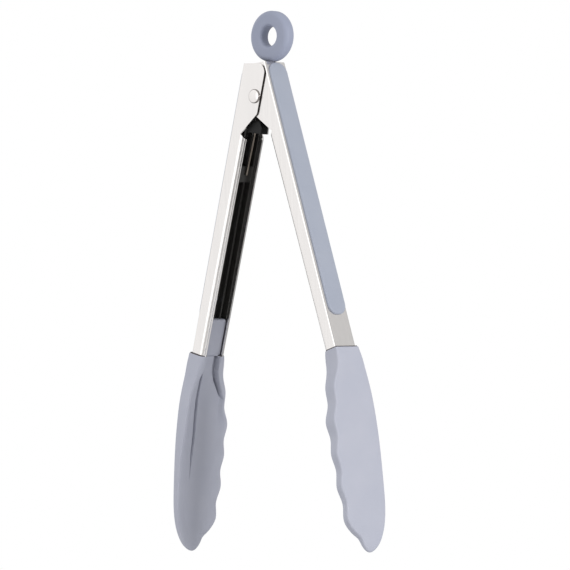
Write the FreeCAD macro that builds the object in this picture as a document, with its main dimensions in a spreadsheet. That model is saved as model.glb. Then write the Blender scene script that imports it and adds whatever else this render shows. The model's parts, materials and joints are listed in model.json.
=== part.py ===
import FreeCAD, Part
import math
import os
import Sketcher

# Spring loaded kitchen tongs, open at rest.
# Row frame: origin at the centre of the hanging hole in the pull ring, +Z up, Y along the
# hinge pin, left arm at -X and right arm at +X.
# Arm frame, used to draw every arm piece: origin on the pin axis, x outward to the back of
# the arm, y along the pin, z up along the arm.
# Lock frame: origin on the pin axis, z up along the lock's slide.

SIZES = (
    ("open_angle", 16.1, "lean of each arm from upright, deg"),
    ("sheet", 0.8, "steel sheet"),
    ("inner_half_width", 8.3, "half width of the right, inner arm"),
    ("arm_clearance", 0.1, "side gap between the two arms' ears"),
    ("back_offset", 12.8, "pin axis to the outer face of an arm's back"),
    ("lip_face_top", 2.6, "open face of an arm from the pin plane, at its upper end"),
    ("lip_face_end", 3.8, "open face of an arm from the pin plane, at the tip"),
    ("lip_radius", 2.8, "outer radius of the curled lip"),
    ("back_bend", 1.2, "outer radius of the fold along the back"),
    ("arm_top", 16.0, "top of the back above the pin"),
    ("ear_peak", 19.7, "top corner of the ear before rounding"),
    ("ear_reach", 4.15, "reach of the ear past the pin axis"),
    ("ear_foot", 9.2, "lower corner of the ear below the pin"),
    ("ear_round", 5.2, "radius of the ear's top corner"),
    ("ear_foot_round", 3.0, "radius of the ear's lower corner"),
    ("lip_start", 22.3, "start of the curled lip below the pin"),
    ("lip_slant", 2.6, "slant of the lip's end"),
    ("collar_level", 150.2, "top of the silicone tip below the pin"),
    ("arm_end", 158.0, "lower end of the steel below the pin"),
    ("pin_radius", 2.5, "rivet shank"),
    ("running_gap", 0.05, "radial running clearance"),
    ("head_radius", 3.95, "rivet head"),
    ("head_height", 1.1, "rivet head"),
    ("bush_wall", 0.9, "wall of the nylon bushes"),
    ("bush_start", 1.2, "inner end of each bush from the mid plane"),
    ("pad_inset", 1.3, "steel left bare beside the grip pad"),
    ("pad_thickness", 1.2, "grip pad"),
    ("pad_top", 15.3, "top of the pad above the pin"),
    ("pad_end", 131.4, "end of the pad below the pin"),
    ("pad_round", 6.0, "radius of the pad's top corners"),
    ("pad_edge", 0.8, "rounding of the pad's edge"),
    ("plate_inset", 1.5, "rubber beside the pad's backing plate"),
    ("plate_thickness", 0.5, "backing plate"),
    ("peg_radius", 1.5, "pegs of the backing plate"),
    ("peg_length", 2.6, "peg below the backing plate"),
    ("peg_clearance", 0.1, "radial gap round a peg"),
    ("first_peg", 34.0, "first peg below the pin"),
    ("peg_pitch", 42.0, "spacing of the three pegs"),
    ("liner_gap", 0.1, "gap between liner and steel sides"),
    ("liner_top", 13.0, "top of the liner below the pin"),
    ("liner_end", 128.8, "end of the liner below the pin"),
    ("liner_floor", 1.8, "floor of the liner"),
    ("liner_wall", 1.3, "side walls of the liner"),
    ("liner_height", 5.4, "height of the liner's side walls"),
    ("rib_height", 4.6, "height of the liner's two ribs"),
    ("rib_place", 2.6, "ribs from the mid plane"),
    ("rib_thickness", 1.2, "ribs"),
    ("seat_start", 41.0, "spring seat below the pin"),
    ("seat_length", 9.0, "spring seat"),
    ("tip_length", 110.2, "silicone tip below its collar"),
    ("tip_half_width", 16.9, "half width of the tip at its widest valley"),
    ("tip_skin", 1.1, "silicone over the steel at the collar"),
    ("tip_wall", 3.0, "rim of the scoop round its hollow"),
    ("groove_depth", 1.2, "groove and slot below the scoop's floor"),
    ("groove_width", 1.2, "widest part of the groove"),
    ("scallop", 1.7, "height of a scallop past the smooth edge"),
    ("neck_top", 128.9, "top of the tip's neck below the pin"),
    ("neck_end", 176.0, "end of the neck below the pin"),
    ("neck_face", 5.7, "inner face of the neck from the pin plane"),
    ("neck_gap", 0.7, "gap between the neck and the steel sides"),
    ("core_skin", 0.8, "silicone over the core at the scoop's back"),
    ("core_thickness", 1.0, "blade of the core"),
    ("core_inset", 3.4, "silicone beside the blade"),
    ("core_neck_skin", 1.5, "silicone over the core's neck"),
    ("tip_pin_radius", 1.25, "cross pin of the tip"),
    ("tip_pin_place", 8.9, "cross pin from the pin plane"),
    ("tip_pin_level", 154.2, "cross pin below the hinge"),
    ("lock_lean", 10.75, "lean of the lock's slide from upright, deg"),
    ("lock_travel", 8.0, "travel of the lock"),
    ("ring_rest", 19.7, "lower edge of the pull ring above the pin along the slide"),
    ("ring_radius", 14.1, "pull ring"),
    ("ring_hole", 5.45, "hanging hole"),
    ("ring_thickness", 7.4, "pull ring"),
    ("ring_round", 2.2, "rounding of the ring's outer edges"),
    ("ring_hole_round", 1.9, "rounding of the hole's edges"),
    ("hoop_inset", 4.3, "outer edge of the ring to the centre line of its core"),
    ("hoop_thickness", 1.4, "half thickness of the ring's core"),
    ("boss_half_width", 4.6, "boss of the ring's core"),
    ("boss_half_depth", 1.9, "boss of the ring's core"),
    ("boss_height", 4.2, "boss of the ring's core"),
    ("boss_skin", 1.3, "silicone below the boss"),
    ("strip_thickness", 1.4, "lock strip"),
    ("strip_half_width", 4.4, "lock strip beside its slot"),
    ("stem_half_width", 3.1, "lock strip above its slot"),
    ("strip_shoulder", 8.5, "start of the strip's taper above the pin"),
    ("stem_start", 11.5, "end of the strip's taper above the pin"),
    ("stem_depth", 4.8, "stem inside the ring"),
    ("strip_foot", 20.5, "lower end of the strip below the pin"),
    ("wedge_height", 7.0, "lock wedge"),
    ("wedge_front", 5.6, "lock wedge in front of the strip"),
    ("wedge_overlap", 0.9, "wedge wider than the strip each side"),
    ("ring_pin_radius", 0.9, "cross pin of the stem"),
    ("wire_radius", 0.7, "spring wire"),
    ("coil_radius", 4.4, "centre line of the spring's coil"),
    ("coil_start", 2.1, "first turn from the mid plane"),
    ("coil_pitch", 1.5, "spring turn to turn"),
    ("coil_turns", 2, "whole turns beside the part turn between the legs"),
    ("leg_lean", 1.8, "lean of a spring leg from its arm, deg"),
    ("leg_length", 46.0, "spring leg"),
    ("seat_gap", 0.05, "gap between a leg and its seat"),
)

# Back of the tip: share of the tip's length below the collar, distance inward from the collar.
BACK_SHAPE = ((0.0, 0.0), (0.057, 0.4), (0.118, 1.6), (0.22, 3.6), (0.41, 7.3),
              (0.61, 11.1), (0.80, 14.5), (0.91, 16.7), (0.965, 18.2), (1.0, 19.6))
# Gripping edge of the tip: share of length, distance inward from the collar's back.
EDGE_SHAPE = ((0.0, 10.6), (0.08, 10.6), (0.16, 10.3), (0.25, 11.3), (0.38, 13.7),
              (0.50, 14.4), (0.63, 16.1), (0.77, 18.0), (0.90, 20.0), (1.0, 21.2))
# Floor of the scoop's hollow, in the same way.
FLOOR_SHAPE = ((0.0, 7.9), (0.12, 7.9), (0.20, 8.3), (0.30, 9.7), (0.41, 11.7),
               (0.50, 12.7), (0.63, 14.7), (0.80, 17.4), (0.92, 19.5), (1.0, 20.9))
# Middle of the groove along the smooth side: share of length, y, share of its full width.
GROOVE = ((0.085, 5.2, 0.3), (0.167, 5.5, 0.7), (0.285, 6.1, 1.0), (0.404, 6.6, 1.0),
          (0.525, 6.9, 0.7), (0.640, 7.3, 0.2))
# Slot beside the neck on the scalloped side: share of length, near and far y.
SLOT = ((0.09, 3.1, 5.8), (0.127, 5.2, 7.6), (0.18, 9.3, 11.0), (0.225, 12.6, 13.3))
# Smooth edge of the tip: share of length, share of the half width.
SMOOTH_SHAPE = ((0.09, 0.70), (0.20, 0.87), (0.33, 0.985), (0.50, 1.03), (0.68, 0.995),
                (0.85, 0.855), (0.94, 0.61), (0.985, 0.35))
# Valleys of the scalloped edge, in the same way.
VALLEY_SHAPE = ((0.09, 0.62), (0.20, 0.805), (0.33, 0.955), (0.50, 1.0), (0.68, 0.965),
                (0.85, 0.84))
# From the last scallop to the tip's end, in the same way.
LAST_SCALLOP = ((0.88, 0.79), (0.915, 0.53), (0.932, 0.39), (0.963, 0.275), (0.987, 0.15))
# Scallops along the other edge, as shares of the length.
FIRST_SCALLOP = 0.19
SCALLOP_PITCH = 0.162
SCALLOP_COUNT = 5
# Share of the tip's length from the collar to the top of the scoop's hollow.
NECK_IN_SCOOP = 0.12
# The wire swells a little where a leg bends out of the coil.
BEND_SWELL = 1.04

size = {name: number for name, number, meaning in SIZES}

doc = FreeCAD.newDocument("kitchen_tongs")
sheet = doc.addObject("Spreadsheet::Sheet", "Sizes")
for row, (name, number, meaning) in enumerate(SIZES, start=1):
    sheet.set("A%d" % row, name)
    sheet.set("B%d" % row, str(number))
    sheet.set("C%d" % row, meaning)
    sheet.setAlias("B%d" % row, name)
doc.recompute()


def value(text):
    """The number that a sum such as "back_offset - sheet * 2" comes to."""
    terms = []
    sign = 1
    action = ""
    for word in text.split():
        if word in ("+", "-"):
            sign = -1 if word == "-" else 1
        elif word in ("*", "/"):
            action = word
        else:
            number = size[word] if word in size else float(word)
            if action == "*":
                terms[-1] *= number
            elif action == "/":
                terms[-1] /= number
            else:
                terms.append(sign * number)
            sign = 1
            action = ""
    return sum(terms)


def formula(text):
    """The same sum as an expression on the sheet's cells."""
    return " ".join("Sizes." + word if word in size else word for word in text.split())


def double(text):
    return " + ".join((text, text))


def negative(text):
    swapped = {"+": "-", "-": "+"}
    return "- " + " ".join(swapped.get(word, word) for word in text.split())


def bind(item, name, text):
    item.setExpression(name, formula(text))


def new_body(label):
    body = doc.addObject("PartDesign::Body", label)
    body.Label = label
    return body


def new_sketch(body, name, role, offset=None):
    sketch = body.newObject("Sketcher::SketchObject", name)
    plane = [item for item in body.Origin.OriginFeatures if item.Role == role][0]
    sketch.AttachmentSupport = [(plane, "")]
    sketch.MapMode = "FlatFace"
    if offset:
        bind(sketch, "AttachmentOffset.Base.z", offset)
    return sketch


def fix(sketch, kind, text, *where):
    number = sketch.addConstraint(Sketcher.Constraint(kind, *where, value(text)))
    bind(sketch, "Constraints[%d]" % number, text)


def draw_polygon(sketch, corners):
    spots = [FreeCAD.Vector(value(u), value(v), 0) for u, v in corners]
    first = sketch.GeometryCount
    count = len(spots)
    for i in range(count):
        sketch.addGeometry(Part.LineSegment(spots[i], spots[(i + 1) % count]), False)
    for i in range(count):
        after = first + (i + 1) % count
        sketch.addConstraint(Sketcher.Constraint("Coincident", first + i, 2, after, 1))
    for i, (u, v) in enumerate(corners):
        fix(sketch, "DistanceX", u, -1, 1, first + i, 1)
        fix(sketch, "DistanceY", v, -1, 1, first + i, 1)


def draw_circle(sketch, u, v, radius):
    first = sketch.GeometryCount
    centre = FreeCAD.Vector(value(u), value(v), 0)
    sketch.addGeometry(Part.Circle(centre, FreeCAD.Vector(0, 0, 1), value(radius)), False)
    fix(sketch, "DistanceX", u, -1, 1, first, 3)
    fix(sketch, "DistanceY", v, -1, 1, first, 3)
    fix(sketch, "Radius", radius, first)


def extrude(kind, body, sketch, length, side="One side", reverse=False):
    """A Pad or Pocket. A Pad grows along the sketch's normal, a Pocket cuts against it."""
    before = body.Shape.Volume if body.Tip else 0.0
    feature = body.newObject("PartDesign::" + kind, sketch.Name + "_" + kind.lower())
    feature.Profile = sketch
    bind(feature, "Length", length)
    feature.SideType = side
    feature.Reversed = reverse
    sketch.Visibility = False
    doc.recompute()
    change = body.Shape.Volume - before
    if (change > 0) != (kind == "Pad") or abs(change) < 1e-6:
        raise RuntimeError("%s of %s changed nothing" % (kind, body.Label))
    return feature


def round_edges(body, name, radius, wanted):
    """A Fillet on the edges of the body so far that the test picks."""
    base = body.Tip
    picked = ["Edge%d" % (i + 1) for i, edge in enumerate(base.Shape.Edges) if wanted(edge)]
    feature = body.newObject("PartDesign::Fillet", name)
    feature.Base = (base, picked)
    bind(feature, "Radius", radius)
    doc.recompute()
    return feature


def runs_along(edge, axis):
    if len(edge.Vertexes) != 2:
        return False
    a, b = [vertex.Point for vertex in edge.Vertexes]
    step = (b - a).normalize()
    return abs(abs(step[axis]) - 1) < 0.001


def passes(edge, **place):
    """Whether the middle of the edge lies at the given x, y or z."""
    middle = edge.BoundBox.Center
    return all(abs(getattr(middle, axis) - at) < 0.01 for axis, at in place.items())


def is_circle(edge, radius):
    return edge.Curve.TypeId == "Part::GeomCircle" and abs(edge.Curve.Radius - radius) < 0.001


def turn(degrees):
    return FreeCAD.Rotation(FreeCAD.Vector(0, 1, 0), degrees)


RING_REACH = "ring_rest + ring_radius"
lean = math.radians(size["lock_lean"])
ring_reach = value(RING_REACH)
pin_spot = FreeCAD.Vector(-math.sin(lean), 0, -math.cos(lean)) * ring_reach
half_turn = FreeCAD.Rotation(FreeCAD.Vector(0, 0, 1), 180)
RIGHT = FreeCAD.Placement(pin_spot, turn(-size["open_angle"]))
LEFT = FreeCAD.Placement(pin_spot, turn(size["open_angle"]) * half_turn)
LOCK = FreeCAD.Placement(pin_spot, turn(size["lock_lean"]))
HINGE = FreeCAD.Placement(pin_spot, FreeCAD.Rotation())

INNER_HALF = "inner_half_width"
OUTER_HALF = "inner_half_width + arm_clearance + sheet"
PEG_LEVELS = ("- first_peg", "- first_peg - peg_pitch", "- first_peg - peg_pitch * 2")
# How far a cutting shape runs past the piece it cuts.
OVERRUN = 5
# How far a cutting shape runs to each side of a tip.
FAR = 60
# Least share of the length between an outline's start and its next point.
STEP_IN = 0.03
nodes = {}


def keep(item, placement):
    item.Placement = placement
    nodes[item.Label] = item


def add_feature(label, shape, placement):
    item = doc.addObject("Part::Feature", label)
    item.Label = label
    item.Shape = shape
    keep(item, placement)
    return item


def draw_lip(sketch, half, side):
    """A quarter of a ring: the section of the lip curled inward from one side of an arm."""
    centre_x = "lip_face_end + lip_radius"
    centre_y = half + " - lip_radius" if side > 0 else negative(half + " - lip_radius")
    centre = FreeCAD.Vector(value(centre_x), value(centre_y), 0)
    up = FreeCAD.Vector(0, 0, 1)
    first = sketch.GeometryCount
    start, end = (90, 180) if side > 0 else (180, 270)
    level, upright = (2, 1) if side > 0 else (1, 2)
    for radius in ("lip_radius", "lip_radius - sheet"):
        arc = Part.ArcOfCircle(Part.Circle(centre, up, value(radius)), math.radians(start),
                               math.radians(end))
        number = sketch.GeometryCount
        sketch.addGeometry(arc, False)
        fix(sketch, "DistanceX", centre_x, -1, 1, number, 3)
        fix(sketch, "DistanceY", centre_y, -1, 1, number, 3)
        fix(sketch, "Radius", radius, number)
        sketch.addConstraint(Sketcher.Constraint("Horizontal", number, 3, number, level))
        sketch.addConstraint(Sketcher.Constraint("Vertical", number, 3, number, upright))
    for point in (1, 2):
        number = sketch.GeometryCount
        ends = [sketch.getPoint(first + i, point) for i in (0, 1)]
        sketch.addGeometry(Part.LineSegment(*ends), False)
        sketch.addConstraint(Sketcher.Constraint("Coincident", number, 1, first, point))
        sketch.addConstraint(Sketcher.Constraint("Coincident", number, 2, first + 1, point))


def steel_arm(label, half, hole_radius, placement):
    """A folded channel with ears at the hinge and lips curled inward along its sides."""
    fold_top = "lip_face_top + lip_radius"
    fold_end = "lip_face_end + lip_radius"
    body = new_body(label)
    outline = new_sketch(body, label + "_outline", "XZ_Plane")
    draw_polygon(outline, (
        ("back_offset", "arm_top"),
        ("- ear_reach", "ear_peak"),
        ("- ear_reach", "- ear_foot"),
        (fold_top, "- lip_start"),
        (fold_end, "- arm_end"),
        ("back_offset", "- arm_end"),
    ))
    extrude("Pad", body, outline, double(half), "Symmetric")
    back = size["back_offset"]
    round_edges(body, label + "_ear_round", "ear_round", lambda edge: runs_along(edge, 1)
                and passes(edge, x=-size["ear_reach"], z=size["ear_peak"]))
    round_edges(body, label + "_foot_round", "ear_foot_round", lambda edge: runs_along(edge, 1)
                and passes(edge, x=-size["ear_reach"], z=-size["ear_foot"]))
    round_edges(body, label + "_back_bend", "back_bend",
                lambda edge: runs_along(edge, 2) and passes(edge, x=back))

    cavity = new_sketch(body, label + "_cavity", "XZ_Plane")
    draw_polygon(cavity, (
        ("back_offset - sheet", "ear_peak + %d" % OVERRUN),
        ("back_offset - sheet", "- arm_end - %d" % OVERRUN),
        ("- ear_reach - %d" % OVERRUN, "- arm_end - %d" % OVERRUN),
        ("- ear_reach - %d" % OVERRUN, "ear_peak + %d" % OVERRUN),
    ))
    extrude("Pocket", body, cavity, double(half + " - sheet"), "Symmetric")

    lips = new_sketch(body, label + "_lips", "XY_Plane", "- arm_end")
    for side in (1, -1):
        draw_lip(lips, half, side)
    curl = extrude("Pad", body, lips, "arm_end - lip_start")
    curl.UseCustomVector = True
    curl.Direction = FreeCAD.Vector(value(fold_top) - value(fold_end), 0,
                                    size["arm_end"] - size["lip_start"])
    curl.AlongSketchNormal = True
    doc.recompute()
    slant = new_sketch(body, label + "_slant", "XZ_Plane")
    draw_polygon(slant, (
        (fold_top, "- lip_start"),
        (fold_top + " - lip_radius * 2", "- lip_start - lip_slant * 2"),
        (fold_top + " - lip_radius * 2", "- lip_start"),
    ))
    extrude("Pocket", body, slant, double(half + " + sheet"), "Symmetric")

    holes = new_sketch(body, label + "_side_holes", "XZ_Plane")
    draw_circle(holes, "0", "0", hole_radius)
    draw_circle(holes, "tip_pin_place", "- tip_pin_level", "tip_pin_radius")
    extrude("Pocket", body, holes, double(half + " + sheet"), "Symmetric")

    peg_holes = new_sketch(body, label + "_peg_holes", "YZ_Plane")
    for level in PEG_LEVELS:
        draw_circle(peg_holes, "0", level, "peg_radius + peg_clearance")
    extrude("Pocket", body, peg_holes, "back_offset + sheet", reverse=True)
    keep(body, placement)
    return body


def pad_outline(half, inset):
    edge_y = half + " - pad_inset" + inset
    top = "pad_top" + inset
    end = "- pad_end" + inset.replace("-", "+")
    return ((edge_y, top), (negative(edge_y), top), (negative(edge_y), end), (edge_y, end))


def round_pad_corners(body, label, inset):
    """Round the corners of a pad or its plate, whose edges there run along x."""
    top = value("pad_top" + inset)
    end = value("- pad_end" + inset.replace("-", "+"))
    round_edges(body, label + "_top_round", "pad_round" + inset,
                lambda edge: runs_along(edge, 0) and passes(edge, z=top))
    round_edges(body, label + "_end_round", "pad_round" + inset,
                lambda edge: runs_along(edge, 0) and passes(edge, z=end))


def pad_plate(label, half, placement):
    """The nylon plate moulded into a grip pad, with pegs that clip through the arm."""
    body = new_body(label)
    outline = new_sketch(body, label + "_outline", "YZ_Plane", "back_offset")
    draw_polygon(outline, pad_outline(half, " - plate_inset"))
    extrude("Pad", body, outline, "plate_thickness")
    round_pad_corners(body, label, " - plate_inset")
    pegs = new_sketch(body, label + "_pegs", "YZ_Plane", "back_offset")
    for level in PEG_LEVELS:
        draw_circle(pegs, "0", level, "peg_radius")
    extrude("Pad", body, pegs, "peg_length", reverse=True)
    keep(body, placement)
    return body


def grip_pad(label, half, plate, placement):
    """The silicone grip on the back of an arm, moulded round its backing plate."""
    blank = new_body(label + "_blank")
    outline = new_sketch(blank, label + "_outline", "YZ_Plane", "back_offset")
    draw_polygon(outline, pad_outline(half, ""))
    extrude("Pad", blank, outline, "pad_thickness")
    round_pad_corners(blank, label, "")
    face = value("back_offset + pad_thickness")
    round_edges(blank, label + "_edge", "pad_edge",
                lambda edge: abs(edge.BoundBox.XMin - face) < 0.001
                and abs(edge.BoundBox.XMax - face) < 0.001)
    blank.Placement = placement
    pad = doc.addObject("Part::Cut", label)
    pad.Label = label
    pad.Base = blank
    pad.Tool = plate
    nodes[label] = pad


def handle_liner(label, half, placement):
    """The black nylon tray inside an arm, with two ribs and a seat for the spring's leg."""
    body = new_body(label)
    wall_y = half + " - sheet - liner_gap"
    room_y = wall_y + " - liner_wall"
    back = "back_offset - sheet"
    floor = back + " - liner_floor"
    rim = back + " - liner_height"
    section = new_sketch(body, label + "_section", "XY_Plane", "- liner_end")
    draw_polygon(section, (
        (back, negative(wall_y)), (back, wall_y), (rim, wall_y), (rim, room_y),
        (floor, room_y), (floor, negative(room_y)), (rim, negative(room_y)),
        (rim, negative(wall_y)),
    ))
    extrude("Pad", body, section, "liner_end - liner_top")
    ribs = new_sketch(body, label + "_ribs", "XY_Plane", "- liner_end")
    rib_rim = back + " - rib_height"
    for near, far in (("rib_place", "rib_place + rib_thickness"),
                      ("- rib_place - rib_thickness", "- rib_place")):
        draw_polygon(ribs, ((floor, near), (floor, far), (rib_rim, far), (rib_rim, near)))
    extrude("Pad", body, ribs, "liner_end - liner_top")
    seat = new_sketch(body, label + "_seat", "XY_Plane", "- seat_start - seat_length")
    draw_polygon(seat, ((floor, negative(room_y)), (floor, room_y), ("seat_face", room_y),
                        ("seat_face", negative(room_y))))
    extrude("Pad", body, seat, "seat_length")
    sockets = new_sketch(body, label + "_sockets", "YZ_Plane")
    for level in PEG_LEVELS:
        draw_circle(sockets, "0", level, "peg_radius")
    extrude("Pocket", body, sockets, "back_offset", reverse=True)
    keep(body, placement)


# A spring leg leans away from its coil and bears on the liner's seat with its end.
leg_angle = math.radians(size["leg_lean"])
size["seat_face"] = round(size["coil_radius"] / math.cos(leg_angle) + size["wire_radius"]
                          + size["leg_length"] * math.tan(leg_angle) + size["seat_gap"], 3)
seat_row = len(SIZES) + 1
sheet.set("A%d" % seat_row, "seat_face")
sheet.set("B%d" % seat_row, str(size["seat_face"]))
sheet.setAlias("B%d" % seat_row, "seat_face")
doc.recompute()


def spline(points):
    curve = Part.BSplineCurve()
    curve.interpolate(points)
    return curve.toShape()


def tip_level(share):
    return -size["collar_level"] - share * size["tip_length"]


def region(shape, shift, far_x):
    """Everything between a curve along the tip, moved inward by shift, and x = far_x."""
    start = size["back_offset"] + size["tip_skin"] - shift
    points = [FreeCAD.Vector(start - inward, 0, tip_level(share)) for share, inward in shape]
    curve = spline(points)
    first = FreeCAD.Vector(far_x, 0, points[0].z)
    last = FreeCAD.Vector(far_x, 0, points[-1].z)
    others = Part.makePolygon([points[-1], last, first, points[0]]).Edges
    face = Part.Face(Part.Wire([curve] + others))
    width = 3 * size["tip_half_width"]
    solid = face.extrude(FreeCAD.Vector(0, width, 0))
    solid.translate(FreeCAD.Vector(0, -width / 2, 0))
    return solid


def valley_half(share):
    """Half width at the valleys at a share of the length, between the drawn points."""
    for (s0, w0), (s1, w1) in zip(VALLEY_SHAPE, VALLEY_SHAPE[1:]):
        if s0 <= share <= s1:
            return size["tip_half_width"] * (w0 + (w1 - w0) * (share - s0) / (s1 - s0))
    return size["tip_half_width"] * VALLEY_SHAPE[0][1]


def plan(collar_half, inset, start_share, scalloped):
    """The tip seen from its back: smooth at +y, scalloped at -y, drawn inset all round."""
    end = tip_level(1.0) + inset

    def drawn(shape):
        return [(size["tip_half_width"] * width - inset, tip_level(share) + inset * share)
                for share, width in shape]

    smooth = drawn([spot for spot in SMOOTH_SHAPE if spot[0] > start_share + STEP_IN])
    other = drawn([spot for spot in VALLEY_SHAPE if spot[0] > start_share + STEP_IN]
                  + list(LAST_SCALLOP[:-1]))
    other = [(-across, level) for across, level in other]
    if scalloped:
        other = []
        for i in range(2 * SCALLOP_COUNT):
            share = FIRST_SCALLOP + (i - 1) * SCALLOP_PITCH / 2
            extra = size["scallop"] if i % 2 else 0.0
            other.append((-valley_half(share) - extra, tip_level(share)))
        other += [(-across, level) for across, level in drawn(LAST_SCALLOP)]
    first = (collar_half - inset, tip_level(start_share))
    last = (-collar_half + inset, tip_level(start_share))
    ordered = [first] + smooth + [(0.0, end)] + other[::-1] + [last]
    points = [FreeCAD.Vector(-FAR, across, level) for across, level in ordered]
    wire = Part.Wire([spline(points), Part.LineSegment(points[-1], points[0]).toShape()])
    return Part.Face(wire).extrude(FreeCAD.Vector(2 * FAR, 0, 0))


def through(points):
    """A prism right through the tip, on an outline given as y and z."""
    corners = [FreeCAD.Vector(-FAR, across, level) for across, level in points]
    face = Part.Face(Part.makePolygon(corners + corners[:1]))
    return face.extrude(FreeCAD.Vector(2 * FAR, 0, 0))


def groove():
    half = size["groove_width"] / 2
    one = [(y + half * width, tip_level(share)) for share, y, width in GROOVE]
    other = [(y - half * width, tip_level(share)) for share, y, width in GROOVE]
    return through(one + other[::-1])


def slot_beside_neck():
    near = [(-y, tip_level(share)) for share, y, far in SLOT]
    away = [(-y, tip_level(share)) for share, far, y in SLOT]
    return through(near + away[::-1])


def slab(x0, x1, half, z0, z1):
    """A block between two x, two z and +-half across."""
    return Part.makeBox(x1 - x0, 2 * half, z1 - z0, FreeCAD.Vector(x0, -half, z0))


def silicone_tip(side, half, arm, placement):
    """A scoop of silicone moulded over a nylon core, with its neck inside the arm."""
    half_width = value(half)
    collar = half_width + size["tip_skin"]
    inner_back = size["back_offset"] - size["sheet"] - size["arm_clearance"]
    neck_half = half_width - size["sheet"] - size["neck_gap"]

    body = region(BACK_SHAPE, 0, -FAR).cut(region(EDGE_SHAPE, 0, -2 * FAR))
    block = body.common(plan(collar, 0, 0.0, True))
    inner = plan(collar + size["tip_wall"], size["tip_wall"], NECK_IN_SCOOP, False)
    scoop = block.cut(region(FLOOR_SHAPE, 0, -FAR).common(inner))
    deeper = region(FLOOR_SHAPE, -size["groove_depth"], -FAR)
    upper = slab(size["neck_face"], inner_back, neck_half, -size["collar_level"] - 1,
                 -size["neck_top"])
    lower = slab(size["neck_face"], inner_back, neck_half, -size["neck_end"],
                 -size["collar_level"])
    within = region(BACK_SHAPE, size["core_skin"], -FAR)
    silicone = scoop.fuse([upper, lower.common(within)])
    silicone = silicone.cut([deeper.common(groove()), deeper.common(slot_beside_neck())])

    blade = within.cut(region(BACK_SHAPE, size["core_skin"] + size["core_thickness"], -2 * FAR))
    inner = plan(collar + size["tip_wall"], size["core_inset"], NECK_IN_SCOOP, False)
    blade = blade.common(inner)
    skin = size["core_neck_skin"]
    stalk_upper = slab(size["neck_face"] + skin, inner_back - skin, neck_half - skin,
                       -size["collar_level"] - 1, -size["neck_top"] - skin)
    stalk_lower = slab(size["neck_face"] + skin, inner_back - skin, neck_half - skin,
                       -size["neck_end"] + skin, -size["collar_level"])
    core = blade.fuse([stalk_upper, stalk_lower.common(within)]).removeSplitter()

    pin = Part.makeCylinder(size["tip_pin_radius"], 2 * half_width,
                            FreeCAD.Vector(size["tip_pin_place"], -half_width,
                                           -size["tip_pin_level"]), FreeCAD.Vector(0, 1, 0))
    steel = arm.Shape.copy()
    steel.Placement = FreeCAD.Placement()
    silicone = silicone.cut([steel, core, pin]).removeSplitter()
    core = core.cut([steel, pin])
    add_feature(side + "_tip_silicone", silicone, placement)
    add_feature(side + "_tip_core", core, placement)
    add_feature(side + "_tip_pin", pin, placement)


left_arm = steel_arm("left_arm_channel", OUTER_HALF, "pin_radius", LEFT)
right_arm = steel_arm("right_arm_channel", INNER_HALF, "pin_radius + running_gap", RIGHT)
for side, half, arm, placement in (("left", OUTER_HALF, left_arm, LEFT),
                                   ("right", INNER_HALF, right_arm, RIGHT)):
    plate = pad_plate(side + "_pad_plate", half, placement)
    grip_pad(side + "_grip_pad", half, plate, placement)
    handle_liner(side + "_handle_liner", half, placement)
    silicone_tip(side, half, arm, placement)

# Pivot rivet: a shank through both arms with a domed head on each side.
shank = doc.addObject("Part::Cylinder", "rivet_shank")
bind(shank, "Radius", "pin_radius")
bind(shank, "Height", double(OUTER_HALF))
shank.Placement = FreeCAD.Placement(FreeCAD.Vector(0, value(OUTER_HALF), 0),
                                    FreeCAD.Rotation(FreeCAD.Vector(1, 0, 0), 90))
dome_radius = (size["head_radius"] ** 2 + size["head_height"] ** 2) / (2 * size["head_height"])
heads = []
for end, side in (("front", -1), ("back", 1)):
    ball = doc.addObject("Part::Sphere", "rivet_%s_ball" % end)
    ball.Radius = dome_radius
    centre = side * (value(OUTER_HALF) + size["head_height"] - dome_radius)
    ball.Placement.Base = FreeCAD.Vector(0, centre, 0)
    disc = doc.addObject("Part::Cylinder", "rivet_%s_disc" % end)
    bind(disc, "Radius", "head_radius + 1")
    bind(disc, "Height", "head_height + 1")
    start = side * value(OUTER_HALF)
    disc.Placement = FreeCAD.Placement(FreeCAD.Vector(0, start, 0),
                                       FreeCAD.Rotation(FreeCAD.Vector(1, 0, 0), -90 * side))
    head = doc.addObject("Part::Common", "rivet_%s_head" % end)
    head.Base = ball
    head.Tool = disc
    heads.append(head)
rivet = doc.addObject("Part::MultiFuse", "pivot_rivet")
rivet.Label = "pivot_rivet"
rivet.Shapes = [shank] + heads
keep(rivet, HINGE)

# Two nylon bushes on the rivet, one each side of the lock strip; the back one holds the coil.
for name, side in (("front_spacer_bush", -1), ("spring_bush", 1)):
    body = new_body(name)
    ring = new_sketch(body, name + "_ring", "XZ_Plane")
    draw_circle(ring, "0", "0", "pin_radius + bush_wall")
    draw_circle(ring, "0", "0", "pin_radius + running_gap")
    bind(ring, "AttachmentOffset.Base.z", "bush_start" if side < 0 else "- bush_start")
    extrude("Pad", body, ring, "inner_half_width - sheet - bush_start - arm_clearance",
            reverse=side > 0)
    keep(body, HINGE)

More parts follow.
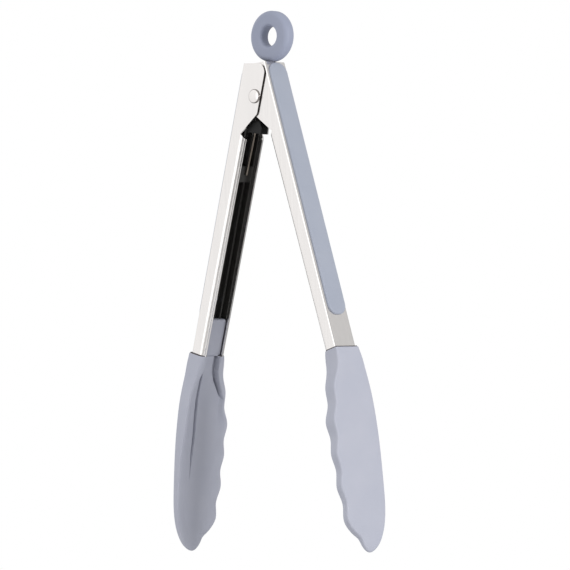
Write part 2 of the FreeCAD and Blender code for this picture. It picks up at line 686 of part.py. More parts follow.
# Lock strip: a steel strip with a slot for the rivet, narrowed to a stem for the ring.
strip = new_body("lock_strip")
outline = new_sketch(strip, "strip_outline", "XZ_Plane")
stem_top = "ring_rest + stem_depth"
draw_polygon(outline, (
    ("strip_half_width", "- strip_foot"), ("strip_half_width", "strip_shoulder"),
    ("stem_half_width", "stem_start"), ("stem_half_width", stem_top),
    ("- stem_half_width", stem_top), ("- stem_half_width", "stem_start"),
    ("- strip_half_width", "strip_shoulder"), ("- strip_half_width", "- strip_foot"),
))
extrude("Pad", strip, outline, "strip_thickness", "Symmetric")
slot = new_sketch(strip, "strip_slot", "XZ_Plane")
slot_half = "pin_radius + running_gap"
draw_polygon(slot, ((slot_half, "0"), (negative(slot_half), "0"),
                    (negative(slot_half), "- lock_travel"), (slot_half, "- lock_travel")))
extrude("Pocket", strip, slot, "strip_thickness * 2", "Symmetric")
for name, level in (("slot_top", "0"), ("slot_end", "- lock_travel")):
    end = new_sketch(strip, name, "XZ_Plane")
    draw_circle(end, "0", level, slot_half)
    extrude("Pocket", strip, end, "strip_thickness * 2", "Symmetric")
pin_level = "ring_rest + stem_depth * 2 / 3"
stem_hole = new_sketch(strip, "stem_hole", "XZ_Plane")
draw_circle(stem_hole, "0", pin_level, "ring_pin_radius")
extrude("Pocket", strip, stem_hole, "strip_thickness * 2", "Symmetric")
keep(strip, LOCK)

# Lock wedge: a nylon block gripped on the strip's lower end, ahead of the spring.
wedge = new_body("lock_wedge")
block = new_sketch(wedge, "wedge_block", "XZ_Plane", "strip_thickness / 2")
wedge_half = "strip_half_width + wedge_overlap"
draw_polygon(block, (
    (wedge_half, "- strip_foot"), (wedge_half, "- strip_foot + wedge_height / 2"),
    ("stem_half_width", "- strip_foot + wedge_height"),
    ("- stem_half_width", "- strip_foot + wedge_height"),
    (negative(wedge_half), "- strip_foot + wedge_height / 2"), (negative(wedge_half), "- strip_foot"),
))
extrude("Pad", wedge, block, "wedge_front")
keep(wedge, LOCK)

# Ring core: a nylon hoop with a boss that grips the strip's stem.
hoop = doc.addObject("Part::Torus", "core_hoop")
bind(hoop, "Radius1", "ring_radius - hoop_inset")
bind(hoop, "Radius2", "hoop_thickness")
hoop.Placement = FreeCAD.Placement(FreeCAD.Vector(0, 0, ring_reach),
                                   FreeCAD.Rotation(FreeCAD.Vector(1, 0, 0), 90))
boss = doc.addObject("Part::Box", "core_boss")
bind(boss, "Length", "boss_half_width * 2")
bind(boss, "Width", "boss_half_depth * 2")
bind(boss, "Height", "boss_height")
boss.Placement.Base = FreeCAD.Vector(-size["boss_half_width"], -size["boss_half_depth"],
                                     value("ring_rest + boss_skin"))
solid_core = doc.addObject("Part::MultiFuse", "core_solid")
solid_core.Shapes = [hoop, boss]
doc.recompute()
pin_height = value(pin_level)
stem_pin = Part.makeCylinder(size["ring_pin_radius"], 2 * size["boss_half_depth"],
                             FreeCAD.Vector(0, -size["boss_half_depth"], pin_height),
                             FreeCAD.Vector(0, 1, 0))
strip_shape = strip.Shape.copy()
strip_shape.Placement = FreeCAD.Placement()
full_core = solid_core.Shape.copy()
add_feature("ring_core", full_core.cut([strip_shape, stem_pin]), LOCK)
add_feature("ring_pin", stem_pin, LOCK)

# Pull ring: silicone over the core, with rounded edges and the hanging hole.
annulus = new_body("ring_blank")
rings = new_sketch(annulus, "ring_circles", "XZ_Plane")
draw_circle(rings, "0", RING_REACH, "ring_radius")
draw_circle(rings, "0", RING_REACH, "ring_hole")
extrude("Pad", annulus, rings, "ring_thickness", "Symmetric")

round_edges(annulus, "ring_round_outer", "ring_round",
            lambda edge: is_circle(edge, size["ring_radius"]))
round_edges(annulus, "ring_round_hole", "ring_hole_round",
            lambda edge: is_circle(edge, size["ring_hole"]))
ring_shape = annulus.Shape.copy()
add_feature("pull_ring", ring_shape.cut([full_core, strip_shape]), LOCK)


def torsion_spring():
    """A coil round the spring bush with one leg down each arm, ending on the liners' seats."""
    radius = size["coil_radius"]
    wire = size["wire_radius"]
    splay = size["open_angle"] + size["leg_lean"]
    sweep = 360 * size["coil_turns"] + 180 - 2 * splay
    height = size["coil_pitch"] * sweep / 360
    path = Part.makeHelix(size["coil_pitch"], height, radius)
    start = path.Edges[0].valueAt(path.Edges[0].FirstParameter)
    heading = path.Edges[0].tangentAt(path.Edges[0].FirstParameter)
    profile = Part.Wire(Part.makeCircle(wire, start, heading))
    coil = Part.Wire(path.Edges).makePipeShell([profile], True, True)
    # The helix climbs along z from +x; stand it along +y with its start at the left.
    stand = FreeCAD.Rotation(FreeCAD.Vector(1, 0, 0), -90)
    spin = turn(180 + splay)
    coil.Placement = FreeCAD.Placement(FreeCAD.Vector(0, size["coil_start"], 0), spin * stand)
    spring = coil
    away = math.radians(splay)
    for side, along in ((-1, size["coil_start"]), (1, size["coil_start"] + height)):
        root = FreeCAD.Vector(side * radius * math.cos(away), along, radius * math.sin(away))
        down = FreeCAD.Vector(side * math.sin(away), 0, -math.cos(away))
        leg = Part.makeCylinder(wire, size["leg_length"], root, down)
        bend = Part.makeSphere(wire * BEND_SWELL, root)
        spring = spring.fuse(bend.fuse(leg))
    return spring


add_feature("torsion_spring", torsion_spring(), HINGE)

doc.recompute()
for item in doc.Objects:
    if "Invalid" in item.State or "Error" in item.State:
        raise RuntimeError("failed object " + item.Label)
for label, item in nodes.items():
    if item.Shape.isNull() or not item.Shape.isValid():
        raise RuntimeError("bad shape in " + label)

os.makedirs("parts", exist_ok=True)
for label, item in nodes.items():
    item.Shape.exportStep("parts/%s.step" % label)
    print(label, len(item.Shape.Solids), round(item.Shape.Volume, 1))
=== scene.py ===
import json
import math

import bmesh
import bpy
import numpy as np
from mathutils import Matrix, Vector


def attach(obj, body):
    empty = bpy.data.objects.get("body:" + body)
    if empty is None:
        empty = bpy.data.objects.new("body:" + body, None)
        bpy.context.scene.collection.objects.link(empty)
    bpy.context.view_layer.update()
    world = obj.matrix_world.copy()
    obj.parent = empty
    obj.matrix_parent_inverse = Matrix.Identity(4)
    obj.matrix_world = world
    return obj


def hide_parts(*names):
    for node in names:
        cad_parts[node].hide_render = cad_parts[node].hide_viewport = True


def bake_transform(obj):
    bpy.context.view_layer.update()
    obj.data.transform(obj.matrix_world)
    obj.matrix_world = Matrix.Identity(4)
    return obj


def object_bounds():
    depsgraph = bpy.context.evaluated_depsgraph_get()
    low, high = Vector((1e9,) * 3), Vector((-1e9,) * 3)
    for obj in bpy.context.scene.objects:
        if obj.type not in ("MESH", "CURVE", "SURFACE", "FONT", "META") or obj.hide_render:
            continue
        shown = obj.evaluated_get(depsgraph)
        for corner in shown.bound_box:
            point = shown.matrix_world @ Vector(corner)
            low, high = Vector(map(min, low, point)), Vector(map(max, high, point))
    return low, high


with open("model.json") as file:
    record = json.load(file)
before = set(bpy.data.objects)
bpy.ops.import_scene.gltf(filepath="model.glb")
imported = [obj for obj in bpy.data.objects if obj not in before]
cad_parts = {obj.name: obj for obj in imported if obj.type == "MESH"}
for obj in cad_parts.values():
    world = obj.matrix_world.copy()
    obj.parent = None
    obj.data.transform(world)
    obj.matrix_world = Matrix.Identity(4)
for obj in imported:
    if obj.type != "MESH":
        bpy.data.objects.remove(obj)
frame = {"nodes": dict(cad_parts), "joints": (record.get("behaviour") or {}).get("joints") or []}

cad_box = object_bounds()

# ---------------------------------------------------------------- frame
MM = 0.001
joints = {joint["name"]: joint for joint in frame["joints"]}
PIN = Vector(joints["arm_pivot"]["pos_m"])
SLIDE = Vector(joints["lock_slide"]["axis"]).normalized()
OPEN_ANGLE = math.radians(16.1)  # lean of each arm from upright at rest
LEAN = math.atan2(SLIDE.x, SLIDE.z)
AT_PIN = Matrix.Translation(PIN)
TO_RIGHT = AT_PIN @ Matrix.Rotation(-OPEN_ANGLE, 4, "Y")
TO_LEFT = AT_PIN @ Matrix.Rotation(OPEN_ANGLE, 4, "Y") @ Matrix.Rotation(math.pi, 4, "Z")
TO_LOCK = AT_PIN @ Matrix.Rotation(LEAN, 4, "Y")

# Sizes in millimetres, in a frame with its origin at the pin: x outward to the arm's back, y
# along the pin and z up along the arm.
SHEET = 0.8
BACK_OFFSET = 12.8
COLLAR_TOP = -150.2
TIP_LENGTH = 110.2
TIP_HALF = 16.9
SKIN = 1.1
COLLAR_BACK = BACK_OFFSET + SKIN
LEFT_HALF = 9.2
RIGHT_HALF = 8.3
ARMS = (("left", LEFT_HALF, TO_LEFT), ("right", RIGHT_HALF, TO_RIGHT))


# ---------------------------------------------------------------- camera
def make_camera():
    """A long lens, a little below the middle of the tongs, 42 degrees round to the right."""
    azimuth, elevation, roll = math.radians(42.203), math.radians(-1.765), math.radians(-1.683)
    distance = 1.9477
    target = PIN + Vector((0.01033, 0.0, -0.105))
    toward = Vector((math.sin(azimuth) * math.cos(elevation),
                     -math.cos(azimuth) * math.cos(elevation), math.sin(elevation)))
    forward = -toward
    right = forward.cross(Vector((0, 0, 1))).normalized()
    up = right.cross(forward).normalized()
    right_turned = math.cos(roll) * right + math.sin(roll) * up
    up_turned = -math.sin(roll) * right + math.cos(roll) * up
    data = bpy.data.cameras.new("camera")
    data.lens = 222.6
    data.sensor_width = 36.0
    data.clip_start = 0.05
    data.clip_end = 60.0
    camera = bpy.data.objects.new("camera", data)
    bpy.context.scene.collection.objects.link(camera)
    rotation = Matrix((right_turned, up_turned, toward)).transposed().to_4x4()
    camera.matrix_world = Matrix.Translation(target + toward * distance) @ rotation
    bpy.context.scene.camera = camera


make_camera()


# ---------------------------------------------------------------- materials
def new_material(name):
    material = bpy.data.materials.new(name)
    material.use_nodes = True
    nodes = material.node_tree.nodes
    return material, nodes, material.node_tree.links, nodes["Principled BSDF"]


def add_node(nodes, kind, **inputs):
    node = nodes.new(kind)
    for key, number in inputs.items():
        node.inputs[key.replace("_", " ")].default_value = number
    return node


def ramp(nodes, links, source, low, high, start=0.0, end=1.0):
    """Colours between low and high as the source goes from start to end."""
    node = nodes.new("ShaderNodeValToRGB")
    node.color_ramp.elements[0].position = start
    node.color_ramp.elements[0].color = (*low, 1)
    node.color_ramp.elements[1].position = end
    node.color_ramp.elements[1].color = (*high, 1)
    links.new(source, node.inputs["Fac"])
    return node.outputs["Color"]


def spread(nodes, links, source, low, high):
    """A number between low and high as the source goes from 0 to 1."""
    node = nodes.new("ShaderNodeMapRange")
    node.inputs["To Min"].default_value = low
    node.inputs["To Max"].default_value = high
    links.new(source, node.inputs["Value"])
    return node.outputs["Result"]


def scaled(colour, factor):
    return tuple(channel * factor for channel in colour)


def add_bump(nodes, links, shader, source, strength, distance):
    bump = add_node(nodes, "ShaderNodeBump", Strength=strength, Distance=distance)
    links.new(source, bump.inputs["Height"])
    links.new(bump.outputs["Normal"], shader.inputs["Normal"])


def stretched_noise(nodes, links, turn, scale, detail):
    """Noise in streaks along a part that leans by the given angle."""
    coordinates = nodes.new("ShaderNodeTexCoord")
    along = nodes.new("ShaderNodeMapping")
    along.inputs["Rotation"].default_value = (0.0, turn, 0.0)
    along.inputs["Scale"].default_value = scale
    links.new(coordinates.outputs["Object"], along.inputs["Vector"])
    noise = add_node(nodes, "ShaderNodeTexNoise", Scale=1.0, Detail=detail)
    links.new(along.outputs["Vector"], noise.inputs["Vector"])
    return coordinates, noise.outputs["Fac"]


# Where the painted shade on the cut edges round an ear starts and ends: how the edges face,
# and metres out and up from the pin.
EDGE_FACING = (-0.35, -0.6)
EDGE_OUTWARD = (0.0030, 0.0020)
EDGE_UPWARD = (-0.0225, -0.0218)
# The dark colour painted on those edges as shade; the steel there is no darker.
EDGE_SHADE_COLOUR = (0.10, 0.09, 0.085)


def painted_edge_shade(nodes, links, coordinates, place):
    """Where painted shade goes: 1 on the cut edges of the sheet round an ear, which face inward,
    and 0 elsewhere.
    """
    outward = (place.to_3x3() @ Vector((1, 0, 0))).normalized()
    upward = (place.to_3x3() @ Vector((0, 0, 1))).normalized()

    def along(source, axis, start, end, shift):
        dot = nodes.new("ShaderNodeVectorMath")
        dot.operation = "DOT_PRODUCT"
        dot.inputs[1].default_value = axis
        links.new(source, dot.inputs[0])
        step = nodes.new("ShaderNodeMapRange")
        step.inputs["From Min"].default_value = start + shift
        step.inputs["From Max"].default_value = end + shift
        links.new(dot.outputs["Value"], step.inputs["Value"])
        return step.outputs["Result"]
    normal, spot = coordinates.outputs["Normal"], coordinates.outputs["Object"]
    masks = (along(normal, outward, *EDGE_FACING, 0.0),
             along(spot, outward, *EDGE_OUTWARD, PIN.dot(outward)),
             along(spot, upward, *EDGE_UPWARD, PIN.dot(upward)))
    product = masks[0]
    for mask in masks[1:]:
        times = nodes.new("ShaderNodeMath")
        times.operation = "MULTIPLY"
        links.new(product, times.inputs[0])
        links.new(mask, times.inputs[1])
        product = times.outputs["Value"]
    return product


def steel(name, colour, roughness, turn, brushing, place=None):
    """Stainless steel with soft brushing along the arm and faint smudges; given a place, the
    inward cut edges round its ear get painted dark shade.
    """
    material, nodes, links, shader = new_material(name)
    shader.inputs["Metallic"].default_value = 1.0
    coordinates, lines = stretched_noise(nodes, links, turn, (700.0, 700.0, 9.0), 2.0)
    smudges = add_node(nodes, "ShaderNodeTexNoise", Scale=30.0, Detail=3.0)
    links.new(coordinates.outputs["Object"], smudges.inputs["Vector"])
    links.new(spread(nodes, links, smudges.outputs["Fac"], roughness - 0.05, roughness + 0.06),
              shader.inputs["Roughness"])
    surface = ramp(nodes, links, lines, scaled(colour, 0.965), colour, 0.3, 0.7)
    if place:
        # Painted shade: the ear's inward cut edges are mixed toward a dark colour.
        edge = nodes.new("ShaderNodeMix")
        edge.data_type = "RGBA"
        links.new(painted_edge_shade(nodes, links, coordinates, place), edge.inputs[0])
        links.new(surface, edge.inputs[6])
        edge.inputs[7].default_value = (*EDGE_SHADE_COLOUR, 1)
        surface = edge.outputs[2]
    links.new(surface, shader.inputs["Base Color"])
    add_bump(nodes, links, shader, lines, brushing, 0.00002)
    return material


def silicone(name, colour, roughness):
    """Moulded silicone: matte, with a very fine grain and a faint cloudiness."""
    material, nodes, links, shader = new_material(name)
    shader.inputs["Specular IOR Level"].default_value = 0.35
    coordinates = nodes.new("ShaderNodeTexCoord")
    cloud = add_node(nodes, "ShaderNodeTexNoise", Scale=60.0, Detail=5.0)
    links.new(coordinates.outputs["Object"], cloud.inputs["Vector"])
    low = tuple(c * f for c, f in zip(colour, (0.96, 0.965, 0.975)))
    high = tuple(c * f for c, f in zip(colour, (1.025, 1.02, 1.015)))
    links.new(ramp(nodes, links, cloud.outputs["Fac"], low, high, 0.25, 0.75),
              shader.inputs["Base Color"])
    links.new(spread(nodes, links, cloud.outputs["Fac"], roughness - 0.06, roughness + 0.06),
              shader.inputs["Roughness"])
    grain = add_node(nodes, "ShaderNodeTexNoise", Scale=2200.0, Detail=2.0)
    links.new(coordinates.outputs["Object"], grain.inputs["Vector"])
    add_bump(nodes, links, shader, grain.outputs["Fac"], 0.07, 0.00003)
    return material


def nylon(name, colour, roughness):
    """Moulded glass filled nylon, with faint flow streaks along the part."""
    material, nodes, links, shader = new_material(name)
    coordinates, streaks = stretched_noise(nodes, links, 0.0, (700.0, 700.0, 60.0), 4.0)
    links.new(ramp(nodes, links, streaks, scaled(colour, 0.7), scaled(colour, 1.5)),
              shader.inputs["Base Color"])
    links.new(spread(nodes, links, streaks, roughness - 0.08, roughness + 0.08),
              shader.inputs["Roughness"])
    add_bump(nodes, links, shader, streaks, 0.12, 0.00004)
    return material


STEEL = (0.83, 0.805, 0.79)
LEFT_STEEL = steel("steel_left", STEEL, 0.19, -OPEN_ANGLE, 0.05, TO_LEFT)
RIGHT_STEEL = steel("steel_right", STEEL, 0.19, OPEN_ANGLE, 0.05, TO_RIGHT)
STRIP_STEEL = steel("steel_strip", (0.74, 0.72, 0.70), 0.34, -LEAN, 0.08)
RIVET_STEEL = steel("steel_rivet", (0.84, 0.81, 0.79), 0.14, 0.0, 0.02)
# Painted shade for the steep edge of the rivet heads.
RIVET_EDGE_SHADE = steel("steel_rivet_edge_shade", (0.26, 0.24, 0.23), 0.30, 0.0, 0.02)
WIRE_STEEL = steel("steel_wire", (0.30, 0.26, 0.22), 0.32, 0.0, 0.03)
TIP_SILICONE = silicone("silicone_tip", (0.415, 0.428, 0.498), 0.60)
PAD_SILICONE = silicone("silicone_pad", (0.335, 0.362, 0.432), 0.52)
RING_SILICONE = silicone("silicone_ring", (0.300, 0.325, 0.420), 0.55)
# Painted shadow for the fine gap between the collar's top and the steel.
COLLAR_GAP_SHADE = nylon("collar_gap_shade", (0.045, 0.035, 0.035), 0.60)
BLACK_NYLON = nylon("nylon_liner", (0.030, 0.029, 0.027), 0.30)
BUSH_NYLON = nylon("nylon_bush", (0.004, 0.004, 0.004), 0.75)
CORE_NYLON = nylon("nylon_core", (0.25, 0.26, 0.31), 0.50)

FINISHES = {
    "left_arm_channel": LEFT_STEEL, "right_arm_channel": RIGHT_STEEL,
    "lock_strip": STRIP_STEEL, "ring_pin": STRIP_STEEL,
    "left_tip_pin": STRIP_STEEL, "right_tip_pin": STRIP_STEEL,
    "left_handle_liner": BLACK_NYLON, "right_handle_liner": BLACK_NYLON,
    "front_spacer_bush": BUSH_NYLON, "spring_bush": BUSH_NYLON,
    "left_tip_core": CORE_NYLON, "right_tip_core": CORE_NYLON, "ring_core": CORE_NYLON,
    "left_pad_plate": CORE_NYLON, "right_pad_plate": CORE_NYLON,
}
for name, material in FINISHES.items():
    node = frame["nodes"][name]
    node.data.materials.clear()
    node.data.materials.append(material)


# ---------------------------------------------------------------- mesh tools
def new_object(name, vertices, faces, material, place):
    """A smooth mesh from points in millimetres, put in the row frame by its matrix."""
    mesh = bpy.data.meshes.new(name)
    mesh.from_pydata([tuple(float(c) * MM for c in v) for v in vertices], [], faces)
    mesh.update()
    tidy = bmesh.new()
    tidy.from_mesh(mesh)
    bmesh.ops.remove_doubles(tidy, verts=tidy.verts, dist=0.00002)
    bmesh.ops.dissolve_degenerate(tidy, edges=tidy.edges, dist=0.000005)
    bmesh.ops.recalc_face_normals(tidy, faces=tidy.faces)
    tidy.to_mesh(mesh)
    tidy.free()
    mesh.transform(place)
    mesh.materials.append(material)
    for face in mesh.polygons:
        face.use_smooth = True
    thing = bpy.data.objects.new(name, mesh)
    bpy.context.scene.collection.objects.link(thing)
    return thing


def table(points):
    """A smooth function through (share, number) pairs."""
    xs = np.array([p[0] for p in points], float)
    ys = np.array([p[1] for p in points], float)
    slopes = np.gradient(ys, xs)

    def read(x):
        x = np.clip(x, xs[0], xs[-1])
        i = np.clip(np.searchsorted(xs, x) - 1, 0, len(xs) - 2)
        width = xs[i + 1] - xs[i]
        t = (x - xs[i]) / width
        return ((1 + 2 * t) * (1 - t) ** 2 * ys[i] + t * (1 - t) ** 2 * width * slopes[i]
                + t * t * (3 - 2 * t) * ys[i + 1] + t * t * (t - 1) * width * slopes[i + 1])
    return read


def straight(points):
    """A function that joins (share, number) pairs by straight lines."""
    xs, ys = zip(*points)
    return lambda x: np.interp(x, xs, ys)


def smooth_step(x):
    x = np.clip(x, 0, 1)
    return x * x * (3 - 2 * x)


def grid_faces(rows, columns, start=0, close_columns=False):
    faces = []
    for i in range(rows - 1):
        for j in range(columns if close_columns else columns - 1):
            a = start + i * columns + j
            b = start + i * columns + (j + 1) % columns
            c = start + (i + 1) * columns + (j + 1) % columns
            d = start + (i + 1) * columns + j
            faces.append((a, b, c, d))
    return faces


def smooth_curve(points, count):
    """Evenly spaced points along a natural cubic spline through the given ones."""
    points = np.array(points, float)
    steps = np.linalg.norm(np.diff(points, axis=0), axis=1)
    t = np.concatenate([[0], np.cumsum(steps)])
    n = len(t)
    matrix = np.zeros((n, n))
    right = np.zeros((n, 2))
    matrix[0, 0] = matrix[-1, -1] = 1
    for i in range(1, n - 1):
        matrix[i, i - 1] = t[i] - t[i - 1]
        matrix[i, i] = 2 * (t[i + 1] - t[i - 1])
        matrix[i, i + 1] = t[i + 1] - t[i]
        right[i] = 6 * ((points[i + 1] - points[i]) / (t[i + 1] - t[i])
                        - (points[i] - points[i - 1]) / (t[i] - t[i - 1]))
    second = np.linalg.solve(matrix, right)
    where = np.linspace(0, t[-1], 4000)
    i = np.clip(np.searchsorted(t, where) - 1, 0, n - 2)
    h = (t[i + 1] - t[i])[:, None]
    a = (t[i + 1] - where)[:, None] / h
    b = 1 - a
    fine = (a * points[i] + b * points[i + 1]
            + ((a ** 3 - a) * second[i] + (b ** 3 - b) * second[i + 1]) * h * h / 6)
    return spaced(fine, count)


def spaced(fine, count):
    length = np.concatenate([[0], np.cumsum(np.linalg.norm(np.diff(fine, axis=0), axis=1))])
    even = np.linspace(0, length[-1], count)
    return np.stack([np.interp(even, length, fine[:, k]) for k in (0, 1)], axis=1)


def quarter(radius_in, radius_drop, count):
    """Steps of a rounded edge, as how far in from the side and how far down from the face."""
    return [(radius_in * (1 - math.sin(a)), radius_drop * (1 - math.cos(a)))
            for a in np.linspace(0, math.pi / 2, count)]


# ---------------------------------------------------------------- silicone tips
# Along a tip, the share goes from 0 at the collar's top to 1 at the end. BACK, EDGE and FLOOR
# are how far in from the collar's back the back, the rim and the scoop's floor lie.
BACK = table(((0.0, 0.0), (0.057, 0.4), (0.118, 1.6), (0.22, 3.6), (0.41, 7.3), (0.61, 11.1),
              (0.80, 14.5), (0.91, 16.7), (0.965, 18.2), (1.0, 19.6)))
EDGE = table(((0.0, 10.6), (0.08, 10.6), (0.16, 10.3), (0.25, 11.3), (0.38, 13.7), (0.50, 14.4),
              (0.63, 16.1), (0.77, 18.0), (0.90, 20.0), (1.0, 21.2)))
FLOOR = table(((0.0, 8.4), (0.12, 8.2), (0.20, 8.3), (0.30, 9.7), (0.41, 11.7), (0.50, 12.7),
               (0.63, 14.7), (0.80, 17.4), (0.92, 19.5), (1.0, 20.9)))
# Half widths as a share of TIP_HALF: the smooth side, the valleys between the scallops, and
# the last scallop.
SMOOTH = ((0.09, 0.70), (0.20, 0.87), (0.33, 0.985), (0.50, 1.03), (0.68, 0.995),
          (0.85, 0.855), (0.94, 0.61), (0.985, 0.35))
VALLEYS = straight(((0.09, 0.62), (0.20, 0.805), (0.33, 0.955), (0.50, 1.0), (0.68, 0.965),
                    (0.85, 0.84)))
LAST_SCALLOP = ((0.88, 0.79), (0.915, 0.53), (0.932, 0.39), (0.963, 0.275), (0.987, 0.15))
SCALLOP = 1.7
VALLEYS_AND_CRESTS = 10
FIRST_SCALLOP = 0.19
HALF_PITCH = 0.081

# Middle and half width of the groove on the smooth side.
GROOVE_Y = straight(((0.07, 5.0), (0.167, 5.5), (0.285, 6.1), (0.404, 6.6), (0.525, 6.9),
                     (0.640, 7.3)))
GROOVE_HALF = straight(((0.07, 0.0), (0.12, 0.8), (0.285, 1.2), (0.404, 1.15), (0.525, 0.8),
                        (0.640, 0.0)))
GROOVE_DEPTH = 4.2
GROOVE_WALL = 0.7  # least silicone left between the groove and the back
# Near and far side of the hollow beside the neck, on the scalloped side.
HOLLOW_NEAR = straight(((0.0, 2.4), (0.047, 2.3), (0.084, 2.9), (0.127, 5.2), (0.18, 9.4),
                        (0.225, 13.0), (0.25, 14.6)))
HOLLOW_FAR = straight(((0.0, 4.4), (0.068, 5.2), (0.121, 7.4), (0.159, 10.0), (0.19, 11.8),
                       (0.225, 13.9), (0.25, 14.6)))
HOLLOW_DEPTH = 4.0
# Rim of the scoop from its outer edge to where it starts to fall, and the width of the fall.
SMOOTH_LAND = straight(((0.0, 4.4), (0.07, 4.4), (0.12, 2.8), (0.20, 1.5), (0.35, 1.1),
                        (1.0, 0.9)))
SMOOTH_FALL = straight(((0.0, 2.2), (0.1, 3.2), (0.2, 4.0), (0.4, 6.0), (1.0, 6.0)))
SCALLOP_LAND = straight(((0.25, 1.3), (0.40, 1.1), (1.0, 0.9)))
SCALLOP_FALL = straight(((0.0, 0.9), (0.2, 0.9), (0.28, 3.0), (0.4, 6.0), (1.0, 6.0)))
RIM_ROUND = straight(((0.0, 3.8), (0.02, 2.6), (0.05, 1.5), (0.12, 0.9), (0.3, 0.6), (1.0, 0.6)))
BACK_ROUND = 1.0
LEAST_LAND = 0.9
NECK_SIDE_END = 0.25  # the share at which the hollow beside the neck ends
OUTLINE_POINTS = 460
DISH_RINGS = 64
END_SPINE = 9.0  # how far short of the tip's end the rings' middle line stops
# The collar's top, as (inset, rise): a rounded edge, a flat and a fine gap round the steel.
COLLAR_LOOPS = ((0.0, 0.0), (0.05, 0.1), (0.25, 0.2), (0.45, 0.22), (0.5, 0.3), (0.5, 0.75),
                (0.85, 0.8), (0.85, -0.6))
GAP_SHADE_START = 0.24  # the rise at which the painted shadow in the gap starts
COLLAR_MIDDLE = (9.5, 0.0, COLLAR_TOP - 0.6)


def level_of(share):
    return COLLAR_TOP - share * TIP_LENGTH


def share_of(level):
    return (COLLAR_TOP - level) / TIP_LENGTH


def tip_outline(collar, count):
    """The tip's edge in y and z: down the smooth side (+y), round the end, up the scallops."""
    points = [(collar, COLLAR_TOP)]
    points += [(TIP_HALF * width, level_of(share)) for share, width in SMOOTH]
    points.append((0.0, level_of(1.0)))
    points += [(-TIP_HALF * width, level_of(share)) for share, width in LAST_SCALLOP[::-1]]
    for i in reversed(range(VALLEYS_AND_CRESTS)):
        share = FIRST_SCALLOP + (i - 1) * HALF_PITCH
        points.append((-TIP_HALF * VALLEYS(share) - (SCALLOP if i % 2 else 0.0),
                       level_of(share)))
    points.append((-collar, COLLAR_TOP))
    return smooth_curve(points, count)


def floor_x(y, z):
    """The inner face of the scoop: a shallow dish with a groove and a hollow by the neck."""
    share = share_of(z)
    half = np.maximum(GROOVE_HALF(share), 0.001)
    across = np.abs(y - GROOVE_Y(share)) / half
    depth = np.minimum(GROOVE_DEPTH, FLOOR(share) - BACK(share) - GROOVE_WALL)
    groove = depth * np.minimum(half / 0.6, 1) * (1 - smooth_step((across - 0.55) / 0.45))
    groove = np.where(half > 0.02, groove, 0)
    near, far = HOLLOW_NEAR(share), HOLLOW_FAR(share)
    inside = smooth_step((-y - near) / 0.9 + 0.4)
    fade = np.clip((far - near) / 1.6, 0, 1)
    hollow = HOLLOW_DEPTH * fade * inside * smooth_step((far + 0.6 + y) / 0.6)
    return COLLAR_BACK - FLOOR(share) + np.maximum(groove, hollow)


def inset_loop(loop, distance):
    """A closed loop moved inward by a distance."""
    step = np.roll(loop, -1, axis=0) - np.roll(loop, 1, axis=0)
    normal = np.stack([-step[:, 1], step[:, 0]], axis=1)
    normal /= np.maximum(np.linalg.norm(normal, axis=1), 1e-9)[:, None]
    area = np.sum(loop[:, 0] * np.roll(loop[:, 1], -1) - np.roll(loop[:, 0], -1) * loop[:, 1])
    return loop + normal * distance * (1 if area > 0 else -1)


